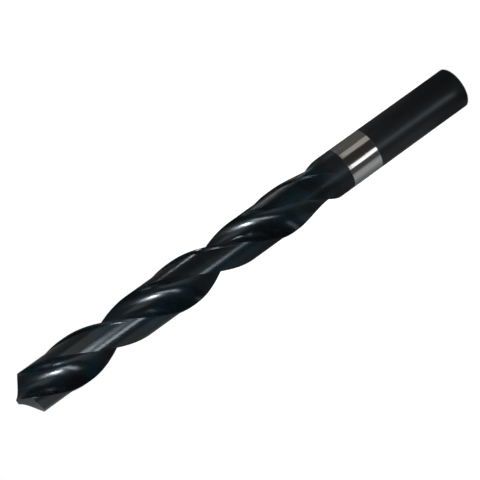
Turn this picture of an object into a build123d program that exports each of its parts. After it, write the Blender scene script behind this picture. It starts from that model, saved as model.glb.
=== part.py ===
"""A right-hand twist drill of high-speed steel, with a reduced parallel shank.

The drill is one solid. It stands on the end of its shank: the origin is the
centre of that end, and +Z runs along the axis to the cutting point. The bar is
turned, a narrow margin stands along each land, the two helical flutes are
milled, and the two flanks of the point are ground.
"""
from build123d import *
import os
from math import asin, atan2, cos, degrees, pi, radians, sin, sqrt, tan

# Driving dimensions, in millimetres and degrees.
overall_length = 152.0        # shank end to chisel edge
cutting_diameter = 13.5       # over the margins, at the point
rear_diameter = 13.3          # over the margins, at the neck: the drill tapers towards its shank
shank_diameter = 12.7
shank_chamfer = 0.5
flute_length = 106.0          # point to the last trace of the flutes

lead_length = 70.3            # length of one full turn of the flutes
flute_opening = 103.0         # angle of one flute round the circle
web_at_point = 1.7            # core thickness at the point
web_at_back = 3.2             # core thickness where the full flutes end
milling_wheel_radius = 42.0   # its rim leaves the wash-out of the flutes

margin_width = 0.8            # round the circle, behind each leading edge
clearance_depth = 0.6         # from the margins down to the lands
land_step_length = 0.2        # slope of the small step from the neck down to the lands

point_angle = 118.0
lip_relief = 8.0              # clearance angle behind each cutting lip
grinding_cone_angle = 28.0    # half angle of the cone that each flank is part of
grinding_cone_reach = 22.5    # from the axis back to that cone's apex, along the lip

# Sizes that follow from them.
cutting_radius = cutting_diameter / 2
rear_radius = rear_diameter / 2
shank_radius = shank_diameter / 2
clearance_radius = cutting_radius - clearance_depth
flute_count = 2
margin_angle = degrees(margin_width / cutting_radius)
helix_angle = atan2(2 * pi * cutting_radius, lead_length)
neck_height = overall_length - flute_length
overshoot = cutting_radius / 6    # how far each tool passes beyond the bar
tip_pass = overall_length + overshoot

# The lips are straight, parallel, and half a web ahead of the centre. Their outer
# corners lie lower than the chisel edge, so in one cross section the rake face is
# hooked forward by the turn of the helix over that depth.
half_point = radians(point_angle / 2)
half_web = web_at_point / 2
corner_depth = sqrt(cutting_radius**2 - half_web**2) / tan(half_point)
corner_angle = degrees(asin(half_web / cutting_radius)) + 360 * corner_depth / lead_length
heel_angle = corner_angle + flute_opening

# The milling wheel climbs out of the bar on its own radius, along the helix.
run_out_depth = shank_radius - web_at_back / 2
run_out_reach = sqrt(run_out_depth * (2 * milling_wheel_radius - run_out_depth))
full_flute_height = neck_height + run_out_reach * cos(helix_angle)
run_out_steps = 6
wall_reach = 1.25             # length of a flute's wall arc, over its part inside the bar


def section_plane(height):
    """The cross section plane at a height, turned with the helix."""
    turn = 360 * (height - overall_length) / lead_length
    return Plane.XY.offset(height).rotated((0, 0, turn))


def polar(radius, angle):
    """A point of a cross section, from its radius and its angle in degrees."""
    return Vector(radius * cos(radians(angle)), radius * sin(radians(angle)))


def along_helix(sections, bottom, top):
    """The solid between cross sections that turns with the helix from one to the next."""
    with BuildLine() as axis:
        Line((0, 0, bottom), (0, 0, top))
    with BuildLine() as guide:
        Helix(lead_length, top - bottom, cutting_radius, center=(0, 0, bottom))
    with BuildPart() as solid:
        sweep(sections, axis.line, multisection=True, binormal=guide.line.edge())
    return solid.part


# The margins: a narrow strip along each leading edge, proud of the land behind it.
def margin_section(height):
    """One margin's strip, rooted in the land and reaching on to the middle of the flute.

    The flute is milled out of it, so where the flute narrows, the strip widens.
    """
    rise = (height - neck_height) / (overall_length - neck_height)
    radius = rear_radius + (cutting_radius - rear_radius) * rise
    start = corner_angle - margin_angle
    with BuildSketch(section_plane(height)) as section:
        with BuildLine():
            root = CenterArc((0, 0), clearance_radius - clearance_depth, start, 90 - start)
            crest = CenterArc((0, 0), radius, start, 90 - start)
            Line(root @ 0, crest @ 0)
            Line(root @ 1, crest @ 1)
        make_face()
    return section.sketch


margin_start = neck_height + land_step_length / 2    # on the slope of the small step
margin = along_helix(
    [margin_section(margin_start), margin_section(tip_pass)], margin_start, tip_pass
)


# The flutes, each with a hooked rake face and a rounder back that rises to the heel.
def flute_section(height, lift=0.0):
    """One flute's opening, closed outside the bar. The web grows towards the back.

    Each wall runs through its edge and on out of the bar along the same arc.
    """
    share = (overall_length - height) / (overall_length - full_flute_height)
    web = Vector(0, (web_at_point + (web_at_back - web_at_point) * share) / 2)
    corner = polar(cutting_radius, corner_angle)
    heel = polar(clearance_radius, heel_angle)
    rise = Vector(0, lift)
    with BuildSketch(section_plane(height)) as section:
        with BuildLine():
            to_corner = TangentArc(web, corner, tangent=(1, 0), mode=Mode.PRIVATE)
            to_heel = TangentArc(web, heel, tangent=(-1, 0), mode=Mode.PRIVATE)
            rake = TangentArc(web + rise, to_corner @ wall_reach + rise, tangent=(1, 0))
            back = TangentArc(web + rise, to_heel @ wall_reach + rise, tangent=(-1, 0))
            crown = Vector(0, cutting_radius + 2 * overshoot) + rise
            ThreePointArc(rake @ 1, crown, back @ 1)
        make_face()
    return section.sketch


full_flute = along_helix(
    [flute_section(full_flute_height), flute_section(tip_pass)], full_flute_height, tip_pass
)

# The wash-out, where the milling wheel leaves the bar.
run_out_bottom = neck_height - overshoot
run_out_sections = []
for step in range(run_out_steps):
    height = run_out_bottom + (full_flute_height - run_out_bottom) * step / (run_out_steps - 1)
    travel = (full_flute_height - height) / cos(helix_angle)
    lift = milling_wheel_radius - sqrt(milling_wheel_radius**2 - travel**2)
    run_out_sections.append(flute_section(height, lift))
wash_out = along_helix(run_out_sections, run_out_bottom, full_flute_height)

# One flank of the point: all that lies outside a cone whose side carries the lip.
# The cone is turned about the lip by the relief angle, so that the flank falls
# away behind the lip, and faster towards the heel.
lip = Vector(sin(half_point), 0, -cos(half_point))
lip_normal = Vector(cos(half_point), 0, sin(half_point))
relief_angle = radians(lip_relief)
flank_normal = lip_normal * cos(relief_angle) - Vector(0, 1, 0) * sin(relief_angle)
cone_angle = radians(grinding_cone_angle)
cone_axis = lip * cos(cone_angle) - flank_normal * sin(cone_angle)
cone_length = grinding_cone_reach + 2 * cutting_diameter
with BuildPart(Plane(Vector(0, half_web) - lip * grinding_cone_reach, z_dir=-cone_axis)) as cone:
    Cone(
        cone_length * tan(cone_angle),
        0,
        cone_length,
        align=(Align.CENTER, Align.CENTER, Align.MAX),
    )
chisel_level = max(point.Z for point, _ in cone.part.find_intersection_points(Axis.Z))

# The two flanks meet in the chisel edge, which crosses the web at an angle to the lips.
slope_beside_axis = lip_relief + degrees(half_web / (grinding_cone_reach * tan(cone_angle)))
chisel_turn = degrees(atan2(1 / tan(half_point), tan(radians(slope_beside_axis))))
flank_depth = 2.2 * corner_depth
flank_plane = Plane.XY.offset(overall_length - flank_depth).rotated((0, 0, chisel_turn - 90))
with BuildPart() as flank:
    with BuildSketch(flank_plane):
        with Locations((-overshoot, 0)):
            Rectangle(
                2 * cutting_diameter,
                2 * cutting_diameter,
                align=(Align.MIN, Align.CENTER),
            )
    extrude(amount=flank_depth + 2 * overshoot)
    with Locations((0, 0, overall_length - chisel_level)):
        add(cone.part, mode=Mode.SUBTRACT)

# The bar is turned, gets its margins, and is then cut the same way on both sides.
with BuildPart() as twist_drill:
    with BuildSketch(Plane.XZ):
        with BuildLine():
            Polyline(
                (0, 0),
                (shank_radius - shank_chamfer, 0),
                (shank_radius, shank_chamfer),
                (shank_radius, neck_height),
                (clearance_radius, neck_height),
                (clearance_radius, tip_pass),
                (0, tip_pass),
                close=True,
            )
        make_face()
    revolve(axis=Axis.Z)
    with PolarLocations(0, flute_count):
        add(margin)
        add(full_flute, mode=Mode.SUBTRACT)
        add(wash_out, mode=Mode.SUBTRACT)
        add(flank.part, mode=Mode.SUBTRACT)
twist_drill.part.label = "twist_drill"

os.makedirs("parts", exist_ok=True)
export_step(twist_drill.part, "parts/twist_drill.step")
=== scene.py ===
"""A twist drill of black oxide high-speed steel, dressed for a studio picture."""
import math
import bpy
from mathutils import Euler, Matrix, Vector


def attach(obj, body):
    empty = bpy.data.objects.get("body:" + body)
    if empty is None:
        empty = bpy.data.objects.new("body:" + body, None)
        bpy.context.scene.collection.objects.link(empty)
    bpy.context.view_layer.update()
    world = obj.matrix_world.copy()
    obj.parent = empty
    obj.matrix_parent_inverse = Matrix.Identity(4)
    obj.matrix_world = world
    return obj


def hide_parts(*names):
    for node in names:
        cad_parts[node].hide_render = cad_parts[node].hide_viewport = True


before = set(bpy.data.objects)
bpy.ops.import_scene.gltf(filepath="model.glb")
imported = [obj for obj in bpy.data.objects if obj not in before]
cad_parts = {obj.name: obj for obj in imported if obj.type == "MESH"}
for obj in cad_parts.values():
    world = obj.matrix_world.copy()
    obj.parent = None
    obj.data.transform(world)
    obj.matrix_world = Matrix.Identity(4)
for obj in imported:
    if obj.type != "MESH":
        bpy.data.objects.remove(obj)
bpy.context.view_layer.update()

# The finish of the drill: high-speed steel, steam treated to a black oxide. A band
# round the shank is ground bright again, and the flutes are glossier than the shank.
mm = 0.001
neck_height = 46.0
lead_length = 70.3
band_bottom = 32.3
band_top = 42.3
band_edge = 0.02
gloss_change = 5.0
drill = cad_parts["twist_drill"]
oxide = bpy.data.materials.new("black_oxide")
oxide.use_nodes = True
nodes = oxide.node_tree.nodes
links = oxide.node_tree.links
skin = nodes["Principled BSDF"]
skin.inputs["Specular IOR Level"].default_value = 0.35
skin.inputs["Specular Tint"].default_value = (0.8, 0.92, 1.0, 1)
place = nodes.new("ShaderNodeTexCoord")
parts = nodes.new("ShaderNodeSeparateXYZ")
links.new(place.outputs["Object"], parts.inputs["Vector"])
above_bottom = nodes.new("ShaderNodeMapRange")
above_bottom.inputs["From Min"].default_value = (band_bottom - band_edge) * mm
above_bottom.inputs["From Max"].default_value = (band_bottom + band_edge) * mm
below_top = nodes.new("ShaderNodeMapRange")
below_top.inputs["From Min"].default_value = (band_top + band_edge) * mm
below_top.inputs["From Max"].default_value = (band_top - band_edge) * mm
band = nodes.new("ShaderNodeMath")
band.operation = "MULTIPLY"
links.new(parts.outputs["Z"], above_bottom.inputs["Value"])
links.new(parts.outputs["Z"], below_top.inputs["Value"])
links.new(above_bottom.outputs["Result"], band.inputs[0])
links.new(below_top.outputs["Result"], band.inputs[1])
colour = nodes.new("ShaderNodeMix")
colour.data_type = "RGBA"
colour.inputs["B"].default_value = (0.58, 0.58, 0.58, 1)
flutes = nodes.new("ShaderNodeMapRange")
flutes.inputs["From Min"].default_value = neck_height * mm
flutes.inputs["From Max"].default_value = (neck_height + gloss_change) * mm
oxide_roughness = nodes.new("ShaderNodeMapRange")
oxide_roughness.inputs["To Min"].default_value = 0.33
oxide_roughness.inputs["To Max"].default_value = 0.2
links.new(parts.outputs["Z"], flutes.inputs["Value"])
links.new(flutes.outputs["Result"], oxide_roughness.inputs["Value"])
roughness = nodes.new("ShaderNodeMix")
roughness.inputs["B"].default_value = 0.12
links.new(oxide_roughness.outputs["Result"], roughness.inputs["A"])
links.new(band.outputs[0], roughness.inputs["Factor"])
links.new(band.outputs[0], colour.inputs["Factor"])
links.new(colour.outputs["Result"], skin.inputs["Base Color"])
links.new(band.outputs[0], skin.inputs["Metallic"])
links.new(roughness.outputs["Result"], skin.inputs["Roughness"])

# The tools leave fine lines along the shank and along the flutes, which turn with them,
# and the steam treatment leaves clouds of blue in the black of the flutes.
turns = nodes.new("ShaderNodeMath")
turns.operation = "SUBTRACT"
turns.inputs[1].default_value = neck_height * mm
turns.use_clamp = True
twist = nodes.new("ShaderNodeMath")
twist.operation = "MULTIPLY"
twist.inputs[1].default_value = -2 * math.pi / (lead_length * mm)
links.new(parts.outputs["Z"], turns.inputs[0])
links.new(turns.outputs[0], twist.inputs[0])
untwisted = nodes.new("ShaderNodeVectorRotate")
untwisted.rotation_type = "Z_AXIS"
links.new(place.outputs["Object"], untwisted.inputs["Vector"])
links.new(twist.outputs[0], untwisted.inputs["Angle"])
stretched = nodes.new("ShaderNodeMapping")
stretched.inputs["Scale"].default_value = (2400, 2400, 160)
lines = nodes.new("ShaderNodeTexNoise")
lines.inputs["Scale"].default_value = 1
lines.inputs["Detail"].default_value = 4
relief = nodes.new("ShaderNodeBump")
relief.inputs["Distance"].default_value = 0.00003
relief.inputs["Strength"].default_value = 0.5
links.new(untwisted.outputs["Vector"], stretched.inputs["Vector"])
links.new(stretched.outputs["Vector"], lines.inputs["Vector"])
links.new(lines.outputs["Fac"], relief.inputs["Height"])
links.new(relief.outputs["Normal"], skin.inputs["Normal"])
clouds = nodes.new("ShaderNodeTexNoise")
clouds.inputs["Scale"].default_value = 130
clouds.inputs["Detail"].default_value = 2
blue = nodes.new("ShaderNodeMapRange")
blue.inputs["From Min"].default_value = 0.4
blue.inputs["From Max"].default_value = 0.65
links.new(place.outputs["Object"], clouds.inputs["Vector"])
links.new(clouds.outputs["Fac"], blue.inputs["Value"])
flute_blue = nodes.new("ShaderNodeMath")
flute_blue.operation = "MULTIPLY"
black = nodes.new("ShaderNodeMix")
black.data_type = "RGBA"
black.inputs["A"].default_value = (0.0045, 0.005, 0.006, 1)
black.inputs["B"].default_value = (0.003, 0.013, 0.018, 1)
links.new(blue.outputs["Result"], flute_blue.inputs[0])
links.new(flutes.outputs["Result"], flute_blue.inputs[1])
links.new(flute_blue.outputs[0], black.inputs["Factor"])
links.new(black.outputs["Result"], colour.inputs["A"])
drill.data.materials.clear()
drill.data.materials.append(oxide)

# The drill body: one bar of high-speed steel, turned, milled and ground. Two helical
# flutes are cut along it, a narrow margin is left along each land, and the point is
# ground on two flanks. It is modelled as one piece and stands for the CAD solid.
overall_length = 152.0
cutting_radius = 6.75
rear_radius = 6.65
land_radius = 6.15
shank_radius = 6.35
shank_chamfer = 0.5
flute_length = overall_length - neck_height
land_fade = 6.0
margin_rise = 4.0
margin_width = 0.8
flute_opening = 103.0
point_angle = 118.0
web_at_point = 1.7
web_at_back = 3.2
wheel_radius = 42.0
spare_length = 1.1
margin_turn = math.degrees(margin_width / cutting_radius)
half_point = math.radians(point_angle / 2)
half_web = web_at_point / 2
corner_depth = math.sqrt(cutting_radius**2 - half_web**2) / math.tan(half_point)
corner_turn = math.degrees(math.asin(half_web / cutting_radius))
corner_turn += 360 * corner_depth / lead_length
heel_turn = corner_turn + flute_opening
helix_angle = math.atan2(2 * math.pi * cutting_radius, lead_length)
wheel_depth = shank_radius - web_at_back / 2
wheel_reach = math.sqrt(wheel_depth * (2 * wheel_radius - wheel_depth))
full_flute_height = neck_height + wheel_reach * math.cos(helix_angle)
bar_top = overall_length + spare_length

# How finely each half of a cross section is drawn: the flute's wall from the cutting
# edge to its deepest line, the wall on to the heel, the land, and the margin.
rake_points = 14
heel_points = 22
land_points = 34
margin_points = 14


def bar_radius(height):
    """The radius of the bar between the margins."""
    if height < shank_chamfer:
        return shank_radius - shank_chamfer + height
    sunk = min(max(height - neck_height, 0) / land_fade, 1)
    return shank_radius - (shank_radius - land_radius) * sunk


def margin_radius(height):
    """The radius over the margins, which rise out of the neck and grow to the point."""
    above = height - neck_height
    if above <= 0:
        return bar_radius(height)
    grown = rear_radius + (cutting_radius - rear_radius) * above / flute_length
    return min(grown, shank_radius + (rear_radius - shank_radius) * above / margin_rise)


def flute_wall(height, side, travel):
    """A point of the flute's wall in a cross section, at a distance from its deepest line.

    The wall is an arc up to the cutting edge (side 1) or to the heel (side -1), and
    straight from there on. In the wash-out the milling wheel lifts it out of the bar.
    """
    share = (overall_length - height) / (overall_length - full_flute_height)
    web = (web_at_point + (web_at_back - web_at_point) * share) / 2
    lift = 0.0
    if height < full_flute_height:
        run = (full_flute_height - height) / math.cos(helix_angle)
        lift = wheel_radius - math.sqrt(wheel_radius**2 - run**2)
    if side > 0:
        edge_radius, edge_turn = cutting_radius, math.radians(corner_turn)
    else:
        edge_radius, edge_turn = land_radius, math.radians(heel_turn)
    across = abs(edge_radius * math.cos(edge_turn))
    up = edge_radius * math.sin(edge_turn) - web
    radius = (across**2 + up**2) / (2 * up)
    arc = 2 * math.atan2(up, across)
    turn = travel / radius
    if turn <= arc:
        x, y = radius * math.sin(turn), radius * (1 - math.cos(turn))
    else:
        rest = travel - arc * radius
        x = across + rest * math.cos(arc)
        y = up + rest * math.sin(arc)
    return side * x, web + y + lift


def in_bar(point, height):
    """Whether a point of a cross section lies within the bar and its margins."""
    turn = (math.degrees(math.atan2(point[1], point[0])) + 90) % 180 - 90
    on_margin = turn >= corner_turn - margin_turn
    return math.hypot(*point) < (margin_radius(height) if on_margin else bar_radius(height))


longest_wall = 16.0
halvings = 40


def wall_length(height, side):
    """How far the flute's wall runs within the bar, from its deepest line outwards."""
    if height <= neck_height or not in_bar(flute_wall(height, side, 0), height):
        return 0.0
    low, high = 0.0, longest_wall
    for _ in range(halvings):
        middle = (low + high) / 2
        if in_bar(flute_wall(height, side, middle), height):
            low = middle
        else:
            high = middle
    return low


def half_outline(height):
    """Half of the cross section, from one leading edge round to the next."""
    ring = []
    rake = wall_length(height, 1)
    heel = wall_length(height, -1)
    plain = bar_radius(height)
    crest = margin_radius(height)
    if rake + heel == 0:
        front_turn = rear_turn = 90.0
        ring += [(0.0, plain)] * (rake_points + heel_points)
    else:
        for step in range(rake_points):
            ring.append(flute_wall(height, 1, rake * (1 - step / rake_points)))
        for step in range(heel_points):
            ring.append(flute_wall(height, -1, heel * step / (heel_points - 1)))
        front_turn = math.degrees(math.atan2(ring[0][1], ring[0][0]))
        rear_turn = math.degrees(math.atan2(ring[-1][1], ring[-1][0]))
    step_turn = 180 + corner_turn - margin_turn
    for step in range(1, land_points + 1):
        turn = math.radians(rear_turn + (step_turn - rear_turn) * step / land_points)
        ring.append((plain * math.cos(turn), plain * math.sin(turn)))
    for step in range(margin_points):
        turn = math.radians(step_turn + (180 + front_turn - step_turn) * step / margin_points)
        ring.append((crest * math.cos(turn), crest * math.sin(turn)))
    return ring


# A plain cylinder is cut into rings twice over, and each ring then takes the outline of
# the drill at its height, turned with the flutes.
cuts_each_time = 14
ring_count = (cuts_each_time + 1) ** 2 + 1
ring_heights = [0, shank_chamfer, 8, 16, 24, 32, 40, 43, neck_height]
fluted_rings = ring_count - len(ring_heights)
ring_step = (bar_top - neck_height) / fluted_rings
ring_heights += [neck_height + ring_step * step for step in range(1, fluted_rings + 1)]
column_count = 2 * len(half_outline(overall_length / 2))
bpy.ops.object.select_all(action="DESELECT")
bpy.ops.mesh.primitive_cylinder_add(
    vertices=column_count,
    radius=1,
    depth=2,
    end_fill_type="NGON",
)
body = bpy.context.object
body.name = "drill_body"
bpy.ops.object.mode_set(mode="EDIT")
bpy.ops.mesh.select_mode(type="EDGE")
for _ in range(2):
    bpy.ops.mesh.select_all(action="DESELECT")
    bpy.ops.object.mode_set(mode="OBJECT")
    corners = body.data.vertices
    for edge in body.data.edges:
        low, high = (corners[index].co.z for index in edge.vertices)
        edge.select = abs(high - low) > 0.001
    bpy.ops.object.mode_set(mode="EDIT")
    bpy.ops.mesh.subdivide(number_cuts=cuts_each_time)
bpy.ops.object.mode_set(mode="OBJECT")
outlines = []
for height in ring_heights:
    half = half_outline(height)
    turn = math.radians(360 * (max(height, neck_height) - overall_length) / lead_length)
    ring = []
    for x, y in half + [(-x, -y) for x, y in half]:
        ring.append((
            (x * math.cos(turn) - y * math.sin(turn)) * mm,
            (x * math.sin(turn) + y * math.cos(turn)) * mm,
            height * mm,
        ))
    outlines.append(ring)
for vertex in body.data.vertices:
    level = round((vertex.co.z + 1) / 2 * (ring_count - 1))
    around = math.atan2(vertex.co.y, vertex.co.x) / (2 * math.pi)
    column = round(around * column_count) % column_count
    vertex.co = outlines[level][column]
bpy.ops.object.mode_set(mode="EDIT")
bpy.ops.mesh.select_all(action="SELECT")
bpy.ops.mesh.remove_doubles(threshold=0.000002)
bpy.ops.mesh.normals_make_consistent(inside=False)
bpy.ops.object.mode_set(mode="OBJECT")

# The point of the drill: two flanks, each ground as part of a cone whose side carries
# the cutting lip. The cone leans by the relief angle, so the flank falls away behind
# the lip, and the two flanks meet in the chisel edge.
lip_relief = math.radians(8)
cone_angle = math.radians(28)
cone_reach = 22.5
cone_length = cone_reach + 4 * cutting_radius
lip = Vector((math.sin(half_point), 0, -math.cos(half_point)))
lip_normal = Vector((math.cos(half_point), 0, math.sin(half_point)))
flank_normal = lip_normal * math.cos(lip_relief) - Vector((0, 1, 0)) * math.sin(lip_relief)
cone_axis = lip * math.cos(cone_angle) - flank_normal * math.sin(cone_angle)
apex = Vector((0, half_web, 0)) - lip * cone_reach

# Where the cone crosses the drill's axis: the two roots of a quadratic in the height,
# of which only those on the cone's own side of its apex count.
squared = math.cos(cone_angle) ** 2
second = cone_axis.z**2 - squared
first = -2 * cone_axis.z * apex.dot(cone_axis) + 2 * squared * apex.z
constant = apex.dot(cone_axis) ** 2 - squared * apex.dot(apex)
spread = math.sqrt(first * first - 4 * second * constant)
crossings = [(-first + sign * spread) / (2 * second) for sign in (1, -1)]
chisel_level = max(z for z in crossings if (Vector((0, 0, z)) - apex).dot(cone_axis) > 0)
slope_beside_axis = lip_relief + half_web / (cone_reach * math.tan(cone_angle))
chisel_turn = math.atan2(1 / math.tan(half_point), math.tan(slope_beside_axis))
stone_width = 4 * cutting_radius
stone_depth = 2.2 * corner_depth
overlap = cutting_radius / 6
for half_turn in (0, math.pi):
    bpy.ops.object.select_all(action="DESELECT")
    bpy.ops.mesh.primitive_cone_add(
        vertices=360,
        radius1=cone_length * math.tan(cone_angle) * mm,
        radius2=0,
        depth=cone_length * mm,
    )
    cone = bpy.context.object
    cone_middle = apex + cone_axis * (cone_length / 2)
    cone_middle += Vector((0, 0, overall_length - chisel_level))
    cone.matrix_world = (
        Matrix.Rotation(half_turn, 4, "Z")
        @ Matrix.Translation(cone_middle * mm)
        @ (-cone_axis).to_track_quat("Z", "Y").to_matrix().to_4x4()
    )
    bpy.ops.mesh.primitive_cube_add(size=1)
    stone = bpy.context.object
    stone_middle = Vector((
        stone_width / 2 - overlap,
        0,
        overall_length - stone_depth / 2 + overlap,
    ))
    stone_size = Vector((stone_width, stone_width, stone_depth + 2 * overlap))
    stone.matrix_world = (
        Matrix.Rotation(half_turn + chisel_turn - math.pi / 2, 4, "Z")
        @ Matrix.Translation(stone_middle * mm)
        @ Matrix.Diagonal(stone_size * mm).to_4x4()
    )
    bpy.ops.object.select_all(action="DESELECT")
    for cutter, target in ((cone, stone), (stone, body)):
        bpy.context.view_layer.objects.active = target
        cut = target.modifiers.new("cut", "BOOLEAN")
        cut.operation = "DIFFERENCE"
        cut.solver = "EXACT"
        cut.object = cutter
        bpy.ops.object.modifier_apply(modifier="cut")
    bpy.data.objects.remove(cone)
    bpy.data.objects.remove(stone)
bpy.ops.object.select_all(action="DESELECT")
body.select_set(True)
bpy.context.view_layer.objects.active = body
sharpest_smooth_edge = math.radians(24)
bpy.ops.object.shade_smooth_by_angle(angle=sharpest_smooth_edge)
body.data.materials.append(oxide)
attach(body, "root")
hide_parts("twist_drill")

# The camera looks a little downward on the standing drill, and is rolled so that
# the drill lies across the picture with its point at the lower left.
camera_data = bpy.data.cameras.new("studio_camera")
camera_data.sensor_width = 36
camera_data.lens = 97.87
camera_data.clip_start = 0.02
camera = bpy.data.objects.new("studio_camera", camera_data)
bpy.context.collection.objects.link(camera)
camera_place = Vector((-0.33042, -0.11410, 0.15834))
camera_aim = Vector((0.00013, -0.00038, 0.07784))
camera_roll = -125.798
camera.location = camera_place
look = (camera_aim - camera_place).to_track_quat("-Z", "Y")
camera.rotation_mode = "QUATERNION"
camera.rotation_quaternion = look @ Euler((0, 0, math.radians(camera_roll))).to_quaternion()
bpy.context.scene.camera = camera

# The floor is plain white paper, and the room behind it is white. Both show white
# to the camera and in polish; the paper still takes the drill's shadow.
room_white = (1, 1, 1, 1)
paper_shown = 0.62
room_shown = 1.0
room_lit = 0.4
bpy.ops.object.select_all(action="DESELECT")
bpy.ops.mesh.primitive_plane_add(size=6)
floor = bpy.context.object
floor.name = "floor"
paper = bpy.data.materials.new("white_paper")
paper.use_nodes = True
paper_skin = paper.node_tree.nodes["Principled BSDF"]
paper_skin.inputs["Base Color"].default_value = (0.8, 0.8, 0.8, 1)
paper_skin.inputs["Roughness"].default_value = 0.9
paper_skin.inputs["Emission Color"].default_value = room_white
world = bpy.data.worlds.new("white_room")
world.use_nodes = True
bpy.context.scene.world = world
room = world.node_tree.nodes["Background"]
room.inputs["Color"].default_value = room_white
for tree, socket, shown, lit in (
    (paper.node_tree, paper_skin.inputs["Emission Strength"], paper_shown, 0.0),
    (world.node_tree, room.inputs["Strength"], room_shown, room_lit),
):
    rays = tree.nodes.new("ShaderNodeLightPath")
    seen = tree.nodes.new("ShaderNodeMath")
    seen.operation = "MAXIMUM"
    tree.links.new(rays.outputs["Is Camera Ray"], seen.inputs[0])
    tree.links.new(rays.outputs["Is Glossy Ray"], seen.inputs[1])
    seen_or_through = tree.nodes.new("ShaderNodeMath")
    seen_or_through.operation = "MAXIMUM"
    tree.links.new(seen.outputs[0], seen_or_through.inputs[0])
    tree.links.new(rays.outputs["Is Transmission Ray"], seen_or_through.inputs[1])
    strength = tree.nodes.new("ShaderNodeMapRange")
    strength.inputs["To Min"].default_value = lit
    strength.inputs["To Max"].default_value = shown
    tree.links.new(seen_or_through.outputs[0], strength.inputs["Value"])
    tree.links.new(strength.outputs["Result"], socket)
floor.data.materials.append(paper)

# A tent of glowing grey cloth and a low collar round the shank, which only polish sees.
# The cloth's glow is painted light: it is lighter and darker by turns, and on the tent
# painted shade makes it darker towards the floor. Azimuths are in degrees from the
# camera's side of the drill, counterclockwise from above.
camera_side = math.atan2(camera_place.y, camera_place.x)
floor_clearance = 0.0004
warm_side = -10
warmth = 0.07
# Painted light: the glow of the cloth on each side, one grey level for each azimuth.
tent_glow_greys = (
    (-180, 0.18),
    (-115, 0.18),
    (-95, 0.30),
    (-80, 0.42),
    (-62, 0.38),
    (-52, 0.07),
    (-10, 0.07),
    (0, 0.03),
    (26, 0.03),
    (60, 0.11),
    (180, 0.11),
)
tent_walls = []
for name, radius, height, low_shade, high_shade, shade_height in (
    ("tent", 0.3, 0.6, 0.35, 2.6, 0.15),
    ("tent_collar", 0.035, 0.0325, 1.0, 1.0, 0.0325),
):
    bpy.ops.object.select_all(action="DESELECT")
    bpy.ops.mesh.primitive_cylinder_add(
        vertices=96,
        radius=radius,
        depth=height,
        end_fill_type="NGON" if name == "tent" else "NOTHING",
        location=(0, 0, height / 2 + floor_clearance),
    )
    wall = bpy.context.object
    wall.name = name
    glowing_cloth = bpy.data.materials.new(name + "_cloth")
    glowing_cloth.use_nodes = True
    nodes = glowing_cloth.node_tree.nodes
    links = glowing_cloth.node_tree.links
    nodes.remove(nodes["Principled BSDF"])
    place = nodes.new("ShaderNodeTexCoord")
    turned = nodes.new("ShaderNodeVectorRotate")
    turned.rotation_type = "Z_AXIS"
    turned.inputs["Angle"].default_value = -camera_side
    parts = nodes.new("ShaderNodeSeparateXYZ")
    around = nodes.new("ShaderNodeMath")
    around.operation = "ARCTAN2"
    share = nodes.new("ShaderNodeMapRange")
    share.inputs["From Min"].default_value = -math.pi
    share.inputs["From Max"].default_value = math.pi
    greys = nodes.new("ShaderNodeValToRGB")
    stops = greys.color_ramp.elements
    while len(stops) < len(tent_glow_greys):
        stops.new(0.5)
    for stop, (azimuth, grey) in zip(stops, tent_glow_greys):
        stop.position = (azimuth + 180) / 360
    for stop, (azimuth, grey) in zip(stops, tent_glow_greys):
        tint = warmth if azimuth > warm_side else 0.0
        stop.color = (grey, grey * (1 - tint), grey * (1 - 2 * tint), 1)
    # Painted shade: the tent's glow grows from low_shade at the floor to high_shade at
    # shade_height.
    shade = nodes.new("ShaderNodeMapRange")
    shade.inputs["From Min"].default_value = -height / 2
    shade.inputs["From Max"].default_value = -height / 2 + shade_height
    shade.inputs["To Min"].default_value = low_shade
    shade.inputs["To Max"].default_value = high_shade
    glow = nodes.new("ShaderNodeEmission")
    links.new(place.outputs["Object"], turned.inputs["Vector"])
    links.new(turned.outputs["Vector"], parts.inputs["Vector"])
    links.new(parts.outputs["Y"], around.inputs[0])
    links.new(parts.outputs["X"], around.inputs[1])
    links.new(around.outputs[0], share.inputs["Value"])
    links.new(share.outputs["Result"], greys.inputs["Fac"])
    links.new(greys.outputs["Color"], glow.inputs["Color"])
    links.new(parts.outputs["Z"], shade.inputs["Value"])
    links.new(shade.outputs["Result"], glow.inputs["Strength"])
    links.new(glow.outputs["Emission"], nodes["Material Output"].inputs["Surface"])
    wall.data.materials.append(glowing_cloth)
    tent_walls.append(wall)

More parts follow.
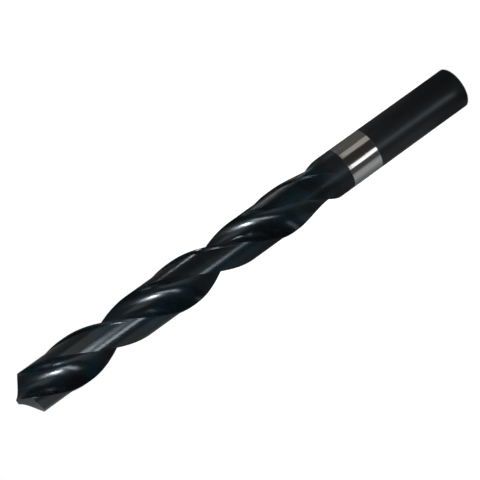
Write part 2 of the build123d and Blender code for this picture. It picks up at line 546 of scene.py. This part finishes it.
# Cards inside the tent, which only polish sees as well: tall ones, small bright ones
# that stand for flashes, and strips that lie on the floor. Each row gives the side it
# is on, half its width as an angle, its colour and brightness, how far out its near and
# far edges are, and their heights.
white = (1, 1, 1, 1)
warm = (1, 0.94, 0.87, 1)
cards = []
for name, azimuth, half_angle, colour, brightness, near, far, bottom, top in (
    ("tall_card", -20, 5.5, white, 13, 0.28, 0.28, 0.045, 0.17),
    ("tall_card_foot", -20, 5.5, white, 5, 0.28, 0.28, 0.004, 0.045),
    ("collar_card", -20.5, 8, white, 1.8, 0.034, 0.034, 0.001, 0.0325),
    ("foot_card", -20.5, 8, white, 1.8, 0.013, 0.034, 0.001, 0.001),
    ("warm_card", 50, 20, warm, 1.3, 0.28, 0.28, 0.09, 0.2),
    ("warm_collar_card", 47, 13, warm, 0.45, 0.034, 0.034, 0.0205, 0.0325),
    ("back_line_low", 97.5, 2, white, 12, 0.15, 0.18, 0.001, 0.001),
    ("back_line_high", 112, 2.5, white, 5, 0.19, 0.28, 0.001, 0.001),
    ("back_card", 125, 8, warm, 0.8, 0.19, 0.28, 0.001, 0.001),
    ("main_flash", 4, 8, white, 260, 0.28, 0.28, 0.143, 0.168),
    ("main_halo", 8, 15, white, 6, 0.28, 0.28, 0.13, 0.21),
    ("left_flash", -65, 3, white, 55, 0.28, 0.28, 0.225, 0.245),
    ("right_flash", 94, 3, white, 45, 0.27, 0.27, 0.02, 0.04),
):
    bpy.ops.object.select_all(action="DESELECT")
    bpy.ops.mesh.primitive_plane_add(size=1)
    card = bpy.context.object
    card.name = name
    turn = camera_side + math.radians(azimuth)
    out = Vector((math.cos(turn), math.sin(turn), 0))
    across = Vector((-out.y, out.x, 0)) * math.tan(math.radians(half_angle))
    for vertex in card.data.vertices:
        reach = near if vertex.co.y < 0 else far
        level = bottom if vertex.co.y < 0 else top
        vertex.co = (out + across * math.copysign(1, vertex.co.x)) * reach + Vector((0, 0, level))
    card_paper = bpy.data.materials.new(name)
    card_paper.use_nodes = True
    card_skin = card_paper.node_tree.nodes["Principled BSDF"]
    card_skin.inputs["Base Color"].default_value = (0, 0, 0, 1)
    card_skin.inputs["Emission Color"].default_value = colour
    card_skin.inputs["Emission Strength"].default_value = brightness
    card.data.materials.append(card_paper)
    cards.append(card)
for piece in tent_walls + cards:
    piece.visible_camera = False
    piece.visible_diffuse = False
    piece.visible_transmission = False
    piece.visible_shadow = False


def studio_lamp(name, azimuth, elevation, distance, width, height, watts):
    """A softbox aimed above the middle of the drill. Polish does not show it."""
    data = bpy.data.lights.new(name, "AREA")
    data.shape = "RECTANGLE"
    data.size = width
    data.size_y = height
    data.energy = watts
    lamp = bpy.data.objects.new(name, data)
    bpy.context.collection.objects.link(lamp)
    aim = Vector((0, 0, overall_length * mm * 0.6))
    turn = camera_side + math.radians(azimuth)
    rise = math.radians(elevation)
    level = math.cos(rise)
    out = Vector((math.cos(turn) * level, math.sin(turn) * level, math.sin(rise)))
    lamp.location = aim + out * distance
    lamp.rotation_euler = out.to_track_quat("Z", "Y").to_euler()
    lamp.visible_glossy = False


# The lamps: two soft ones, one on each side of the camera, at a plain level.
studio_lamp("soft_lamp_left", -50, 45, 0.8, 0.5, 0.5, 3.0)
studio_lamp("soft_lamp_right", 60, 50, 0.8, 0.5, 0.5, 2.0)

bpy.context.scene.view_settings.view_transform = "Standard"
